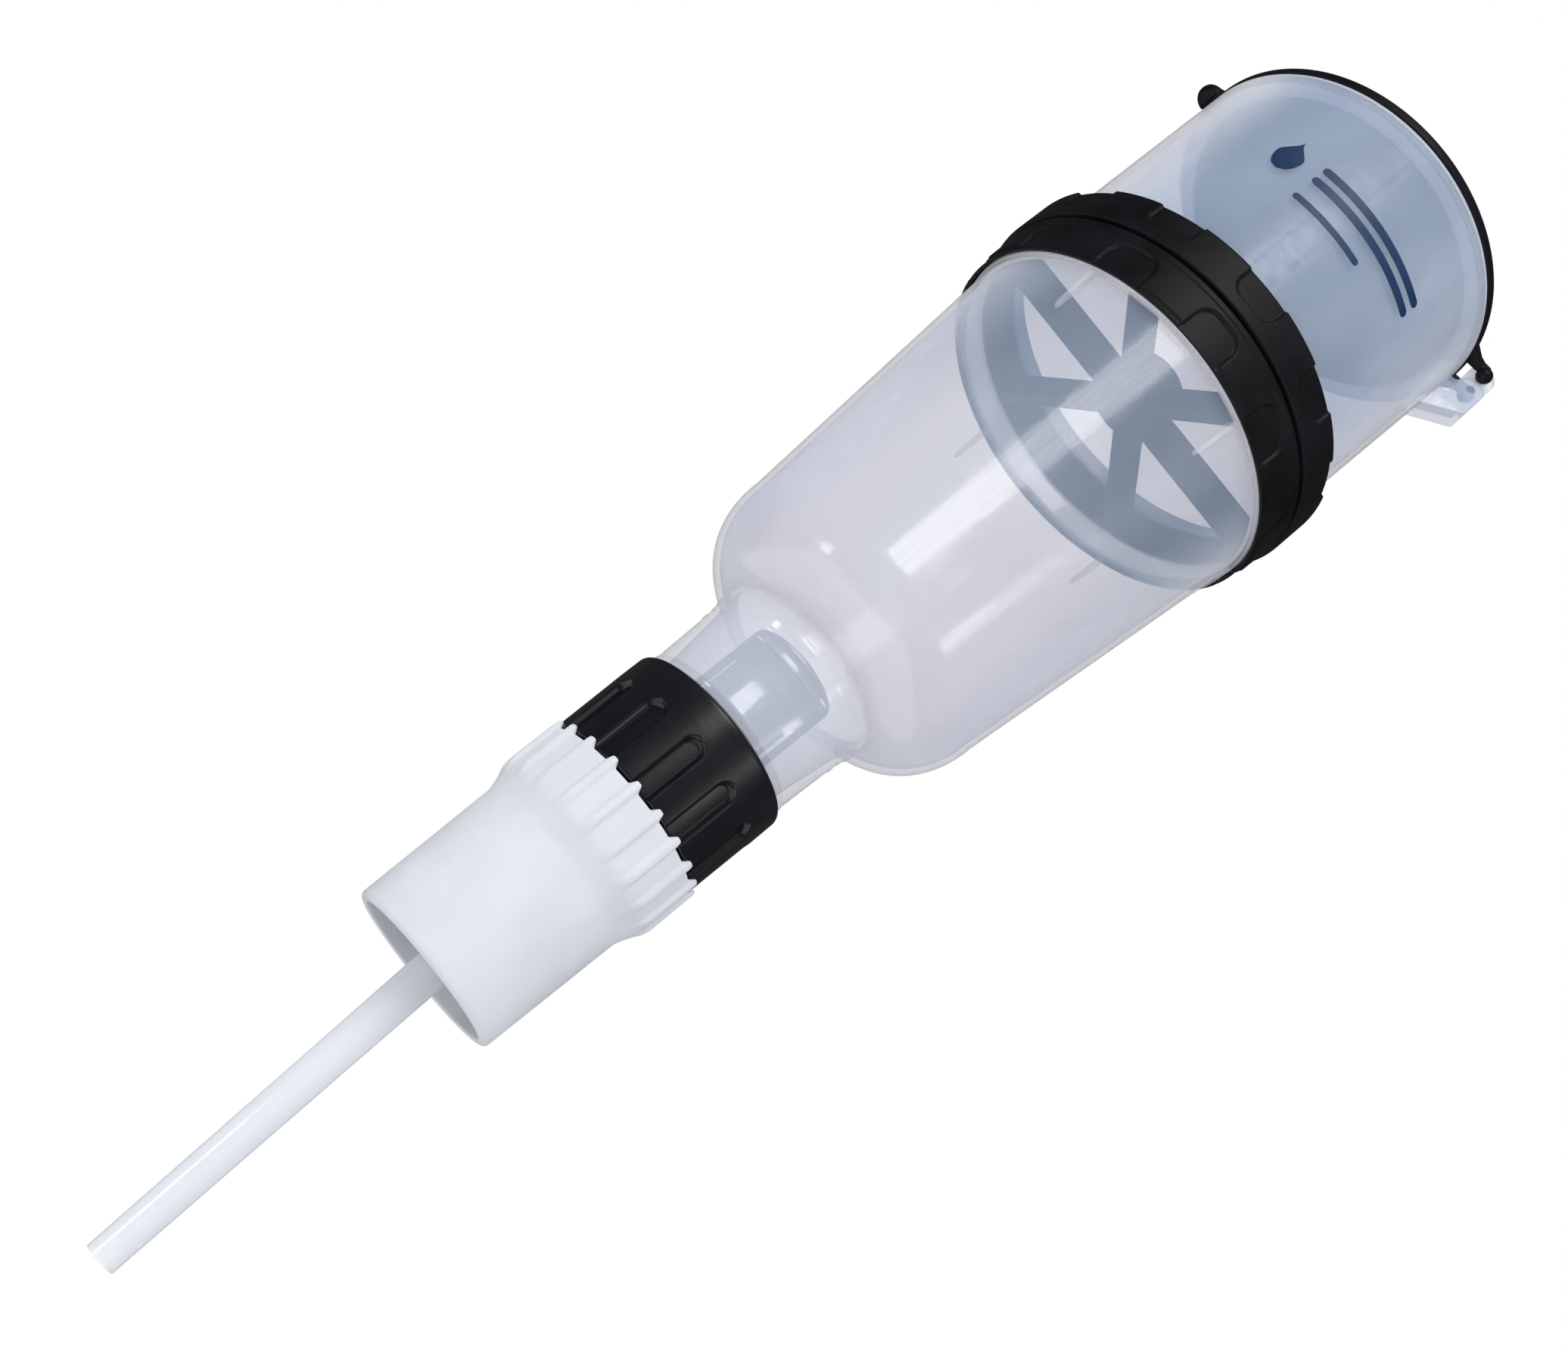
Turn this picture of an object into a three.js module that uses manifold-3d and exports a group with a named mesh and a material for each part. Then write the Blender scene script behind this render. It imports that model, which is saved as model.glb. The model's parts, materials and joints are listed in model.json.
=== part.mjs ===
// A hand-held filling funnel for car fluids, in millimetres, with +Z up along its axis.
// The origin is the centre of the adapter's lower end, where the tank's filler neck enters.
// From the bottom: spout, adapter, valve and neck nut, lower vessel, screw coupling with a
// spoked grid, upper vessel, and a lid hinged on the +X side.
import * as THREE from "three";
import { mergeVertices } from "three/addons/utils/BufferGeometryUtils.js";
import Module from "manifold-3d";

const wasm = await Module();
wasm.setup();

// ---------- driving dimensions ----------
const GAP = 0.3; // clearance between pieces that touch or turn
const WIDE = 36; // sides of the large round pieces
const ROUND = 28; // sides of the neck, nut and adapter
const SMALL = 14; // sides of the valve's pieces

const WALL = 1.8; // moulded wall of both vessels

const LOWER = {
  mouthEnd: 81.3, // lower end of the threaded neck, inside the nut
  threadRadius: 26.5,
  neckStart: 105.4, // where the bare neck leaves the nut
  neckRadius: [28.5, 29.6],
  flareStart: 133,
  flareRadius: 31,
  shoulderStart: 139.5,
  shoulderEnd: 167.3,
  shoulderRadius: 52,
  coneEnd: 277.6,
  coneRadius: 62.6,
  rimRadius: 63.9,
  rim: 298,
  ribs: 6, // short stiffeners under the coupling
  ribTurn: 4, // degrees from +X to the first one
  ribLength: 17,
  ribWidth: 1.4,
  ribHeight: 1.1,
};
const COUPLING = {
  seam: 294.9, // parting line between the two black rings
  seamGap: 0.9,
  lowerStart: 277.6,
  upperEnd: 309.8,
  lowerRadius: 66.4,
  upperRadius: 68.3,
  bore: 64.7,
  pads: 12, // finger pads, on both rings
  padTurn: 11,
  padWidth: 17.5,
  padDepth: 1,
  padCorner: 5,
  padTip: 3.6, // from a pad's closed end to the seam
};
const GRID = {
  bottom: 288.5,
  radius: 61.6,
  wall: 1.8,
  flangeRadius: 63.9, // the flange lies on the lower vessel's rim
  flange: 1.7,
  spokes: 6,
  spokeTurn: 11,
  spokeWidth: 5,
  hubRadius: 12.5,
  hubTop: 306,
};
const GASKET = { width: 3.7, thickness: 1.5 }; // between the spoked grid and the upper vessel
const UPPER = {
  flangeStart: 302.1,
  flangeEnd: 305,
  flangeRadius: 64.2,
  bottomRadius: 61.9,
  topRadius: 63.9,
  top: 397,
  mouthRadius: 56.6, // bore of the inward lip under the lid
  lip: [394.6, 396.2],
};
const HINGE = {
  x: 71.6, // pin axis, parallel to Y
  z: 397.6,
  earRadius: 4.9,
  earInner: 2.3, // |y| of the ear's inner face
  earOuter: 4.7,
  ramp: [371, 381], // where the bracket leaves the wall, and its outer corner
  slotBottom: 389.5, // bottom of the gap between the ear and the wall
  pinRadius: 1.5,
  ballRadius: 2.9,
  armOffset: 6.3, // |y| of the ball's centre
  ballFace: 5, // |y| of the flat cut on the ball's inner side
};
const LID = {
  radius: 64.3,
  bottom: 397.3,
  top: 400.7,
  plug: [54.6, 56.2], // radii of the skirt that enters the mouth
  plugBottom: 394.9,
  panelBottom: 398.2,
  panelTop: 400,
  sealRadii: [57.2, 61.2],
  sealHeights: [396.5, 397.7],
  tabAngle: 191, // degrees round from the hinge
  tabWidth: 11,
  tabReach: 5,
  tabDrop: 1, // how far the tab hangs below the rim
  tabThickness: 4.6,
  armHeight: 3,
};
const NUT = {
  bottom: 71.3,
  top: 105.1,
  radius: 30.7,
  bore: 27.1,
  shoulder: [73, 77.2],
  throat: 19,
  spigotBottom: 52,
  spigotRadius: 26.9,
  spigotBore: 23.5,
  grips: 12,
  gripTop: 94.2,
  gripWidth: 8,
  gripDepth: 1.9,
  gripTurn: 9,
};
const SEAL = { z: 56.3, section: 1 }; // O-ring between the nut's spigot and the adapter
const RETAINER = { z: 62.8, height: 1.6, inner: 25.9, outer: 28, split: 6 };
const ADAPTER = {
  endRadius: 27,
  barrelRadius: 28,
  barrelEnd: 46.5,
  skirtStart: 51,
  skirtRadius: 30.5,
  skirtEnd: 70.6,
  ribs: 20,
  ribTurn: 6,
  ribRadius: 31.7,
  ribEnd: 73.3,
  ribWidth: 1.3,
  threadStart: 6,
  threadPitch: 6,
  threadTurns: 1.25,
  socketRadius: 23.9,
  floor: [30, 34],
  chamberRadius: 24.8,
  chamberEnd: 50.6,
  skirtBore: 27.3,
  spoutHole: 6.8,
};
const SPOUT = {
  length: 105.6, // below the adapter's end
  tipRadius: 4.8,
  rootRadius: 5.9,
  wall: 1.1,
  lean: 2.35, // degrees off the axis
  leanTowards: 11, // degrees round from +X
  pivot: 34.8,
  flangeRadius: 8.5,
};
const VALVE = {
  flangeRadius: 26.6,
  flange: [77.5, 79.5],
  seatRadius: 12.8,
  seatTop: 84,
  bore: 9,
  cageRadius: 16.4,
  cageWall: 1.6,
  cage: [79.8, 139],
  windows: 6,
  windowTurn: 30,
  windowArc: 40, // degrees
  window: [107.5, 131],
  plate: 2.6,
  plateHole: 9.6,
  cupTop: 136.1,
  lift: 3, // travel of the poppet over the adapter's quarter turn
  poppetRadius: 11.6,
  rodRadius: 2.2,
  barHalfLength: 22.3,
  barWidth: 3,
  barBottom: 37.8,
};
const POPPET = { bottom: 86.2, top: 90, stemTop: 131 };
const SPRING = { radius: 6.4, wire: 1.2, turns: 8, stepsPerTurn: 9 };
const CAM = { inner: 20, outer: 24.1, base: 36.8, start: -6, sweep: 103, depth: 5, steps: 9 };

// ---------- materials ----------
const colours = {
  translucent: { color: 0xdfe2ea, roughness: 0.35, metalness: 0, transparent: true, opacity: 0.55 },
  black: { color: 0x222127, roughness: 0.55, metalness: 0 },
  white: { color: 0xe6ebef, roughness: 0.5, metalness: 0 },
  rubber: { color: 0x18181a, roughness: 0.8, metalness: 0 },
  steel: { color: 0xb9bcc0, roughness: 0.3, metalness: 1 },
};

// ---------- shape helpers ----------
const degrees = THREE.MathUtils.degToRad;

// The geometry as a solid that can be joined and cut.
function solid(geometry) {
  const bare = geometry.clone();
  bare.deleteAttribute("normal");
  bare.deleteAttribute("uv");
  const merged = mergeVertices(bare, 1e-4);
  return new wasm.Manifold(
    new wasm.Mesh({
      numProp: 3,
      vertProperties: new Float32Array(merged.attributes.position.array),
      triVerts: new Uint32Array(merged.index.array),
    }),
  );
}

function geometryOf(body) {
  const { vertProperties, triVerts, numProp, numVert } = body.getMesh();
  const positions = new Float32Array(numVert * 3);
  for (let i = 0; i < numVert; i++) {
    positions.set(vertProperties.subarray(i * numProp, i * numProp + 3), i * 3);
  }
  const geometry = new THREE.BufferGeometry();
  geometry.setAttribute("position", new THREE.BufferAttribute(positions, 3));
  geometry.setIndex(new THREE.BufferAttribute(triVerts, 1));
  geometry.computeVertexNormals();
  return geometry;
}

// A body turned about Z from a loop of [radius, z] corners, listed up the outside and
// down the inside. A loop that starts and ends on the axis makes a body with no bore.
function revolve(loop, sides = WIDE) {
  const corners = loop.map(([r, z]) => new THREE.Vector2(r, z));
  const onAxis = corners[0].x === 0 && corners.at(-1).x === 0;
  if (!onAxis) corners.push(corners[0].clone());
  return solid(new THREE.LatheGeometry(corners, sides).rotateX(Math.PI / 2));
}

const ring = (inner, outer, bottom, top, sides = WIDE) =>
  revolve([[inner, bottom], [outer, bottom], [outer, top], [inner, top]], sides);

const disc = (radius, bottom, top, sides = SMALL) =>
  revolve([[0, bottom], [radius, bottom], [radius, top], [0, top]], sides);

// A round-section ring, such as an O-ring.
function torus(radius, section, height, sides = ROUND) {
  const corners = 6;
  const loop = Array.from({ length: corners }, (_, i) => {
    const a = (i / corners) * 2 * Math.PI;
    return [radius + section * Math.cos(a), height + section * Math.sin(a)];
  });
  return revolve(loop, sides);
}

const block = (x, y, z) =>
  solid(
    new THREE.BoxGeometry(x[1] - x[0], y[1] - y[0], z[1] - z[0]).translate(
      (x[0] + x[1]) / 2,
      (y[0] + y[1]) / 2,
      (z[0] + z[1]) / 2,
    ),
  );

const turned = (body, angle) => body.rotate([0, 0, angle]);

const around = (count, make) => Array.from({ length: count }, (_, i) => make((i * 360) / count));

const joined = (bodies) => bodies.reduce((sum, body) => sum.add(body));

// A shape drawn in the X-Z plane and given a thickness along Y.
function slab(shape, yStart, yEnd) {
  const depth = yEnd - yStart;
  const geometry = new THREE.ExtrudeGeometry(shape, { depth, bevelEnabled: false, curveSegments: 5 });
  return solid(geometry.rotateX(Math.PI / 2).translate(0, yEnd, 0));
}

// A recess cutter on the +X side: a U with its round end at tip and its open end past
// mouth, as wide as width, reaching outwards from the given radius.
function recess(floorRadius, width, corner, tip, mouth) {
  const half = width / 2;
  const up = Math.sign(tip - mouth);
  const shape = new THREE.Shape();
  shape.moveTo(-half, mouth);
  shape.lineTo(half, mouth);
  shape.lineTo(half, tip - up * corner);
  shape.absarc(half - corner, tip - up * corner, corner, 0, (up * Math.PI) / 2, up < 0);
  shape.absarc(corner - half, tip - up * corner, corner, (up * Math.PI) / 2, Math.PI * up, up < 0);
  const depth = 10;
  const geometry = new THREE.ExtrudeGeometry(shape, { depth, bevelEnabled: false, curveSegments: 2 });
  return solid(geometry.rotateX(Math.PI / 2).rotateZ(Math.PI / 2).translate(floorRadius, 0, 0));
}

// A rectangular rail that climbs round the axis, used for cam ramps and threads.
class Helix extends THREE.Curve {
  constructor(radius, bottom, rise, start, sweep) {
    super();
    Object.assign(this, { radius, bottom, rise, start, sweep });
  }

  getPoint(t) {
    const angle = degrees(this.start + this.sweep * t);
    return new THREE.Vector3(
      this.radius * Math.cos(angle),
      this.radius * Math.sin(angle),
      this.bottom + this.rise * t,
    );
  }
}

function rail(helix, section, steps) {
  const geometry = new THREE.ExtrudeGeometry(section, {
    steps,
    bevelEnabled: false,
    extrudePath: helix,
    curveSegments: 2,
  });
  return solid(geometry);
}

function rectangle(width, height) {
  const shape = new THREE.Shape();
  shape.moveTo(-width / 2, -height / 2);
  shape.lineTo(width / 2, -height / 2);
  shape.lineTo(width / 2, height / 2);
  shape.lineTo(-width / 2, height / 2);
  shape.closePath();
  return shape;
}

function circle(radius, corners) {
  const points = Array.from({ length: corners }, (_, i) => {
    const a = (i / corners) * 2 * Math.PI;
    return new THREE.Vector2(radius * Math.cos(a), radius * Math.sin(a));
  });
  return new THREE.Shape(points);
}

// A mesh for one sub-part.
function part(name, body, colour) {
  const mesh = new THREE.Mesh(geometryOf(body), new THREE.MeshStandardMaterial(colours[colour]));
  mesh.name = name;
  return mesh;
}

// ---------- lower vessel ----------
// The shoulder is a quarter of an ellipse from the neck out to the cone.
function shoulder(inset, steps) {
  const innerRadius = LOWER.flareRadius - inset;
  const reach = LOWER.shoulderRadius - LOWER.flareRadius;
  const height = LOWER.shoulderEnd - LOWER.shoulderStart - inset;
  return Array.from({ length: steps }, (_, i) => {
    const a = (((i + 1) / steps) * Math.PI) / 2;
    return [innerRadius + reach * Math.sin(a), LOWER.shoulderEnd - height * Math.cos(a)];
  });
}

function lowerVessel() {
  const { neckRadius, neckStart, flareStart, flareRadius, shoulderStart } = LOWER;
  const outside = [
    [LOWER.threadRadius, LOWER.mouthEnd],
    [LOWER.threadRadius, neckStart],
    [neckRadius[0], neckStart + 1],
    [neckRadius[1], flareStart],
    [flareRadius, shoulderStart],
    ...shoulder(0, 4),
    [LOWER.coneRadius, LOWER.coneEnd],
    [LOWER.rimRadius, LOWER.coneEnd + 2],
    [LOWER.rimRadius, LOWER.rim],
  ];
  const inside = [
    [LOWER.threadRadius - WALL, LOWER.mouthEnd],
    [LOWER.threadRadius - WALL, neckStart + 2],
    [neckRadius[1] - WALL, flareStart],
    [flareRadius - WALL, shoulderStart + WALL],
    ...shoulder(WALL, 4),
    [LOWER.coneRadius - WALL, LOWER.coneEnd],
    [LOWER.rimRadius - WALL, LOWER.coneEnd + 2],
    [LOWER.rimRadius - WALL, LOWER.rim],
  ];
  const shell = revolve([...outside, ...inside.reverse()]);
  const { ribs, ribTurn, ribLength, ribWidth, ribHeight, coneEnd, coneRadius } = LOWER;
  const profile = new THREE.Shape();
  profile.moveTo(coneRadius - 1, coneEnd - GAP);
  profile.lineTo(coneRadius + ribHeight, coneEnd - GAP);
  profile.lineTo(coneRadius - 1.6, coneEnd - ribLength);
  profile.lineTo(coneRadius - 2.6, coneEnd - ribLength);
  const rib = slab(profile, -ribWidth / 2, ribWidth / 2);
  return shell.add(joined(around(ribs, (a) => turned(rib, a + ribTurn))));
}

// ---------- screw coupling ----------
function padded(body, radius, tip, mouth) {
  const { pads, padTurn, padWidth, padDepth, padCorner } = COUPLING;
  const cutter = recess(radius - padDepth, padWidth, padCorner, tip, mouth);
  return body.subtract(joined(around(pads, (a) => turned(cutter, a + padTurn))));
}

function lowerCollar() {
  const { lowerStart, lowerRadius, seam, seamGap, padTip } = COUPLING;
  const top = seam - seamGap / 2;
  const lip = 1.6;
  const bore = LOWER.rimRadius + GAP;
  const body = revolve([
    [bore, lowerStart],
    [lowerRadius - 0.8, lowerStart],
    [lowerRadius, lowerStart + lip],
    [lowerRadius + 0.4, top - 2],
    [lowerRadius, top],
    [bore, top],
  ]);
  return padded(body, lowerRadius, top - padTip, lowerStart + lip);
}

function upperCollar() {
  const { upperRadius, upperEnd, bore, seam, seamGap, padTip } = COUPLING;
  const bottom = seam + seamGap / 2;
  const lipBore = UPPER.bottomRadius + 0.5;
  const chamfer = 0.9;
  const body = revolve([
    [bore, bottom],
    [upperRadius, bottom],
    [upperRadius, upperEnd - chamfer],
    [upperRadius - chamfer, upperEnd],
    [lipBore, upperEnd],
    [lipBore, UPPER.flangeEnd + 0.4],
    [bore, UPPER.flangeEnd + 0.4],
  ]);
  return padded(body, upperRadius, bottom + padTip, upperEnd + 1);
}

function spokedGrid() {
  const { bottom, radius, wall, flangeRadius, flange, spokeWidth, hubRadius, hubTop } = GRID;
  const rimTop = LOWER.rim + GAP;
  const top = rimTop + flange;
  const band = revolve([
    [radius - wall, bottom],
    [radius, bottom],
    [radius, rimTop],
    [flangeRadius, rimTop],
    [flangeRadius, top],
    [radius - wall, top],
  ]);
  const reach = [hubRadius - wall / 2, radius - wall / 2];
  const spoke = block(reach, [-spokeWidth / 2, spokeWidth / 2], [bottom, top]);
  const hub = ring(hubRadius - wall, hubRadius, bottom, hubTop, ROUND);
  const base = disc(hubRadius - wall / 2, bottom, bottom + wall, ROUND);
  const spokes = around(GRID.spokes, (a) => turned(spoke, a + GRID.spokeTurn));
  return joined([band, hub, base, ...spokes]);
}

function couplingGasket() {
  const { width, thickness } = GASKET;
  const top = UPPER.flangeStart - GAP;
  return ring(GRID.flangeRadius - width, GRID.flangeRadius, top - thickness, top);
}

// ---------- upper vessel with its hinge bracket ----------
function upperVessel() {
  const { flangeStart, flangeEnd, flangeRadius, bottomRadius, topRadius } = UPPER;
  const { top, mouthRadius, lip } = UPPER;
  const shell = revolve([
    [bottomRadius - WALL, flangeStart],
    [flangeRadius, flangeStart],
    [flangeRadius, flangeEnd],
    [bottomRadius, flangeEnd],
    [topRadius, top],
    [topRadius - WALL, top],
    [topRadius - WALL, lip[1]],
    [mouthRadius, lip[1]],
    [mouthRadius, lip[0]],
    [topRadius - WALL, lip[0]],
  ]);
  const { x, z, earRadius, earInner, earOuter, ramp, slotBottom, pinRadius } = HINGE;
  const wall = bottomRadius + 0.8;
  const outer = x + earRadius;
  const ear = new THREE.Shape();
  ear.moveTo(wall, ramp[0]);
  ear.lineTo(outer, ramp[1]);
  ear.lineTo(outer, z);
  ear.absarc(x, z, earRadius, 0, Math.PI, false);
  ear.lineTo(x - earRadius, slotBottom);
  ear.lineTo(wall, slotBottom);
  const hole = new THREE.Path();
  hole.absarc(x, z, pinRadius + GAP, 0, 2 * Math.PI, true);
  ear.holes.push(hole);
  const floor = new THREE.Shape();
  const plate = 2;
  floor.moveTo(wall, ramp[0]);
  floor.lineTo(outer, ramp[1]);
  floor.lineTo(outer, ramp[1] + 4);
  floor.lineTo(outer - plate, ramp[1] + 4);
  floor.lineTo(outer - plate, ramp[1] + 1);
  floor.lineTo(wall, ramp[0] + plate + 1);
  return joined([
    shell,
    slab(ear, -earOuter, -earInner),
    slab(ear, earInner, earOuter),
    slab(floor, -earInner - 0.5, earInner + 0.5),
  ]);
}

// ---------- lid ----------
function lid() {
  const { radius, bottom, top, plug, plugBottom, panelBottom, panelTop, sealHeights } = LID;
  const seat = sealHeights[1] + GAP;
  const body = revolve([
    [0, panelBottom],
    [plug[0], panelBottom],
    [plug[0], plugBottom],
    [plug[1], plugBottom],
    [plug[1], seat],
    [UPPER.topRadius - WALL - GAP, seat],
    [UPPER.topRadius - WALL - GAP, bottom],
    [radius, bottom],
    [radius, top - 0.8],
    [radius - 0.8, top],
    [radius - 3, top],
    [radius - 4, panelTop],
    [0, panelTop],
  ]);
  return joined([body, lidTab(), lidArm(1), lidArm(-1)]);
}

// The thumb tab opposite the hinge: a rounded tongue, a little thicker than the rim.
function lidTab() {
  const { radius, bottom, tabWidth, tabReach, tabAngle, tabDrop, tabThickness } = LID;
  const half = tabWidth / 2;
  const outline = new THREE.Shape();
  outline.moveTo(radius - 2, -half);
  outline.lineTo(radius - 0.5, -half);
  outline.absellipse(radius - 0.5, 0, tabReach, half, -Math.PI / 2, Math.PI / 2, false);
  outline.lineTo(radius - 2, half);
  const settings = { depth: tabThickness, bevelEnabled: false, curveSegments: 6 };
  const plate = new THREE.ExtrudeGeometry(outline, settings).translate(0, 0, bottom - tabDrop);
  return turned(solid(plate).subtract(disc(radius + 0.6, 0, bottom, WIDE)), tabAngle);
}

// Half of the hinge side: one arm that widens into the rim, its ball end and its inward pin.
function lidArm(side) {
  const { x, z, ballRadius, armOffset, ballFace, pinRadius, earInner } = HINGE;
  const root = LID.radius - 2.5;
  const innerEdge = ballFace + 0.1;
  const outline = new THREE.Shape();
  outline.moveTo(root, innerEdge);
  outline.lineTo(x, innerEdge);
  outline.lineTo(x, armOffset + 1.9);
  outline.lineTo(x - 4, armOffset + 2.2);
  outline.lineTo(root, 12);
  const plate = new THREE.ExtrudeGeometry(outline, { depth: LID.armHeight, bevelEnabled: false });
  const arm = solid(plate.translate(0, 0, LID.bottom + 0.2));
  const sphere = solid(new THREE.SphereGeometry(ballRadius, 12, 8).translate(x, armOffset, z));
  const ball = sphere.trimByPlane([0, 1, 0], ballFace);
  const inner = earInner + GAP;
  const outer = armOffset + 0.5;
  const pin = new THREE.CylinderGeometry(pinRadius, pinRadius, outer - inner, 10);
  const made = joined([arm, ball, solid(pin.translate(x, (inner + outer) / 2, z))]);
  return side > 0 ? made : made.mirror([0, 1, 0]);
}

const lidSeal = () => ring(...LID.sealRadii, ...LID.sealHeights);

// ---------- neck nut and valve ----------
function neckNut() {
  const { bottom, top, radius, bore, shoulder: step, throat } = NUT;
  const { spigotBottom, spigotRadius, spigotBore } = NUT;
  const groove = (z, height, depth) => [
    [spigotRadius, z],
    [spigotRadius - depth, z],
    [spigotRadius - depth, z + height],
    [spigotRadius, z + height],
  ];
  const body = revolve(
    [
      [spigotBore, spigotBottom],
      [spigotRadius, spigotBottom],
      ...groove(SEAL.z - 1.4, 2.8, 2.4),
      ...groove(RETAINER.z - 1.1, 2.2, 1.3),
      [spigotRadius, bottom],
      [radius, bottom],
      [radius + 0.2, top - 1.2],
      [radius - 0.8, top],
      [bore, top],
      [bore, step[1]],
      [throat, step[1]],
      [throat, step[0]],
      [spigotBore, step[0] - 2],
    ],
    ROUND,
  );
  const { grips, gripTurn, gripDepth, gripWidth, gripTop } = NUT;
  const cutter = recess(radius - gripDepth, gripWidth, gripWidth / 2, gripTop, bottom - 1);
  return body.subtract(joined(around(grips, (a) => turned(cutter, a + gripTurn))));
}

const adapterSeal = () => torus(NUT.spigotRadius - SEAL.section, SEAL.section, SEAL.z);

// An open snap ring that lets the adapter turn on the nut but not leave it.
function retainingRing() {
  const { z, height, inner, outer, split } = RETAINER;
  const gap = block([0, 2 * outer], [-split / 2, split / 2], [z - height, z + height]);
  return ring(inner, outer, z - height / 2, z + height / 2, ROUND).subtract(gap);
}

function valveBody() {
  const { flangeRadius, flange, seatRadius, seatTop, bore, rodRadius, cageRadius, cageWall } = VALVE;
  const socket = cageRadius - cageWall - GAP;
  const body = revolve(
    [
      [bore, flange[0]],
      [flangeRadius, flange[0]],
      [flangeRadius, flange[1]],
      [socket, flange[1]],
      [socket, seatTop - 2],
      [seatRadius, seatTop - 2],
      [seatRadius, seatTop],
      [bore, seatTop],
    ],
    ROUND,
  );
  const guideBore = rodRadius + GAP;
  const hub = ring(guideBore, guideBore + 1.6, flange[0], flange[1] + 2, SMALL);
  const arm = block([guideBore + 0.8, bore + 0.5], [-0.8, 0.8], [flange[0], flange[1] + 2]);
  return joined([body, hub, ...around(3, (a) => turned(arm, a))]);
}

const neckGasket = () =>
  ring(
    LOWER.threadRadius - WALL - 0.3,
    VALVE.flangeRadius,
    VALVE.flange[1] + GAP,
    LOWER.mouthEnd - GAP,
    ROUND,
  );

function valveCage() {
  const { cageRadius, cageWall, cage, windows, windowTurn, windowArc, plate, plateHole } = VALVE;
  const inner = cageRadius - cageWall;
  const body = revolve(
    [
      [inner, cage[0]],
      [cageRadius, cage[0]],
      [cageRadius, cage[1] - 0.8],
      [cageRadius - 0.8, cage[1]],
      [plateHole, cage[1]],
      [plateHole, cage[1] - plate],
      [inner, cage[1] - plate],
    ],
    ROUND,
  );
  const half = inner * Math.sin(degrees(windowArc / 2));
  const cutter = block([cageRadius / 2, 2 * cageRadius], [-half, half], VALVE.window);
  return body.subtract(joined(around(windows, (a) => turned(cutter, a + windowTurn))));
}

// The cup under the cage's top plate holds the upper end of the spring and guides the stem.
function springCup() {
  const { cageRadius, cageWall, cupTop } = VALVE;
  const flangeRadius = cageRadius - cageWall - 0.5;
  const outer = SPRING.radius + SPRING.wire / 2 + 1.6;
  const inner = outer - 1.2;
  return revolve(
    [
      [inner, cupTop - 7],
      [outer, cupTop - 7],
      [outer, cupTop - 1.8],
      [flangeRadius, cupTop - 1.8],
      [flangeRadius, cupTop],
      [VALVE.rodRadius + 0.7, cupTop],
      [VALVE.rodRadius + 0.7, cupTop - 1.4],
      [inner, cupTop - 1.4],
    ],
    SMALL,
  );
}

function valvePoppet() {
  const { poppetRadius, rodRadius } = VALVE;
  const { bottom, top, stemTop } = POPPET;
  return revolve(
    [
      [0, bottom],
      [poppetRadius - 1, bottom],
      [poppetRadius, bottom + 1],
      [poppetRadius, top - 0.6],
      [poppetRadius - 0.6, top],
      [rodRadius + 2, top],
      [rodRadius, top + 2],
      [rodRadius, stemTop - 1],
      [rodRadius - 1, stemTop],
      [0, stemTop],
    ],
    SMALL,
  );
}

const poppetSeal = () =>
  ring(VALVE.bore + 0.2, VALVE.seatRadius, VALVE.seatTop + GAP, POPPET.bottom - GAP, SMALL);

// The rod under the poppet ends in a cross bar that climbs the two cam ramps.
function liftRod() {
  const { rodRadius, barHalfLength, barWidth, barBottom } = VALVE;
  const half = barWidth / 2;
  const bar = block([-barHalfLength, barHalfLength], [-half, half], [barBottom, barBottom + 3]);
  return disc(rodRadius, barBottom + 1, POPPET.bottom - GAP).add(bar);
}

function valveSpring() {
  const bottom = POPPET.top + GAP + SPRING.wire / 2;
  const top = VALVE.cupTop - 1.4 - GAP - SPRING.wire / 2;
  const coil = new Helix(SPRING.radius, bottom, top - bottom, 0, 360 * SPRING.turns);
  return rail(coil, circle(SPRING.wire / 2, 4), SPRING.turns * SPRING.stepsPerTurn);
}

// Two opposed ramps on a flat ring; the bar's clearance over them stays the same all the way.
function camRing() {
  const { inner, outer, base, start, sweep, depth, steps } = CAM;
  const bottom = ADAPTER.floor[1] + GAP;
  const clearance = 0.7;
  const middle = VALVE.barBottom - clearance - depth / 2;
  const rise = (VALVE.lift * sweep) / 90;
  const section = rectangle(depth, outer - inner - 0.4);
  const ramp = (angle) =>
    rail(new Helix((inner + outer) / 2, middle, rise, start + angle, sweep), section, steps);
  const body = ring(inner, outer, bottom, base, ROUND);
  return joined([body, ramp(0), ramp(180)]).trimByPlane([0, 0, 1], bottom);
}

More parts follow.
